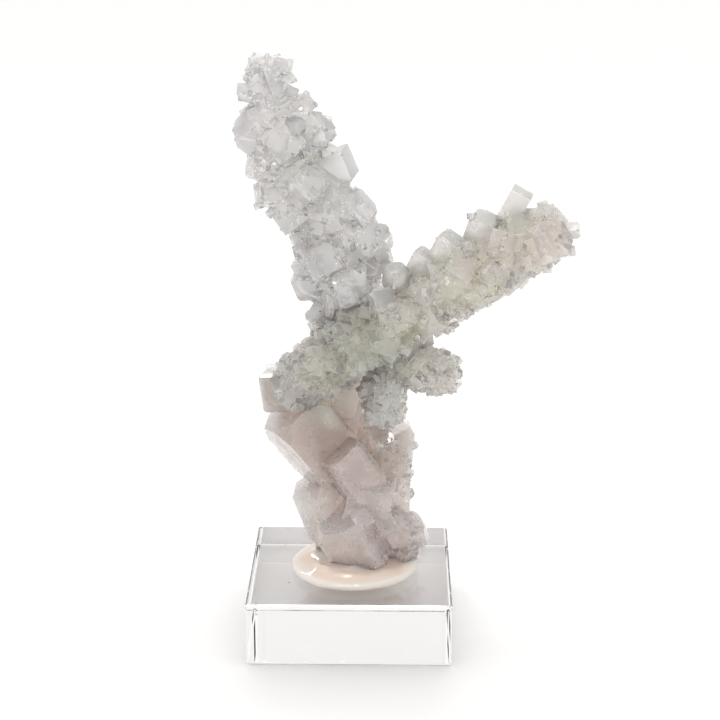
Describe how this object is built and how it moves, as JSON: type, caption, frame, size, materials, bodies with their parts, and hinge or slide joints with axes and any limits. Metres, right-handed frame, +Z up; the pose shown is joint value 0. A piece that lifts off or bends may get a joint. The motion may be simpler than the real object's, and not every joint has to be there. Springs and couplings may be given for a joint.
{
  "type": "apophyllite specimen",
  "caption": "Natural cluster of clear blocky crystals whose druse-covered stalactites cross and branch, glued upright on a square clear display block.",
  "frame": {"origin": "centre of the acrylic block's underside, on the surface that the specimen stands on", "axes": "+X to the right as seen from the front, towards the long stalactite's tip; +Y away from the viewer; +Z up"},
  "size_m": [0.084, 0.0508, 0.1474],
  "materials": {
    "clear_acrylic": "clear cast acrylic with flame-polished faces and small scuffs",
    "hot_melt_glue": "milky peach hot-melt glue, smooth and glossy",
    "apophyllite_stem": "clear to milky crystal with a faint pink-grey tint and striated faces",
    "apophyllite_druse": "clear to milky grey crystal druse with faint green and pink patches"
  },
  "bodies": {
    "root": {"acrylic_block": "clear_acrylic", "mounting_glue": "hot_melt_glue", "stem_cluster": "apophyllite_stem", "long_stalactite": "apophyllite_druse", "tall_stalactite": "apophyllite_druse", "side_stub": "apophyllite_druse"}
  },
  "joints": []
}
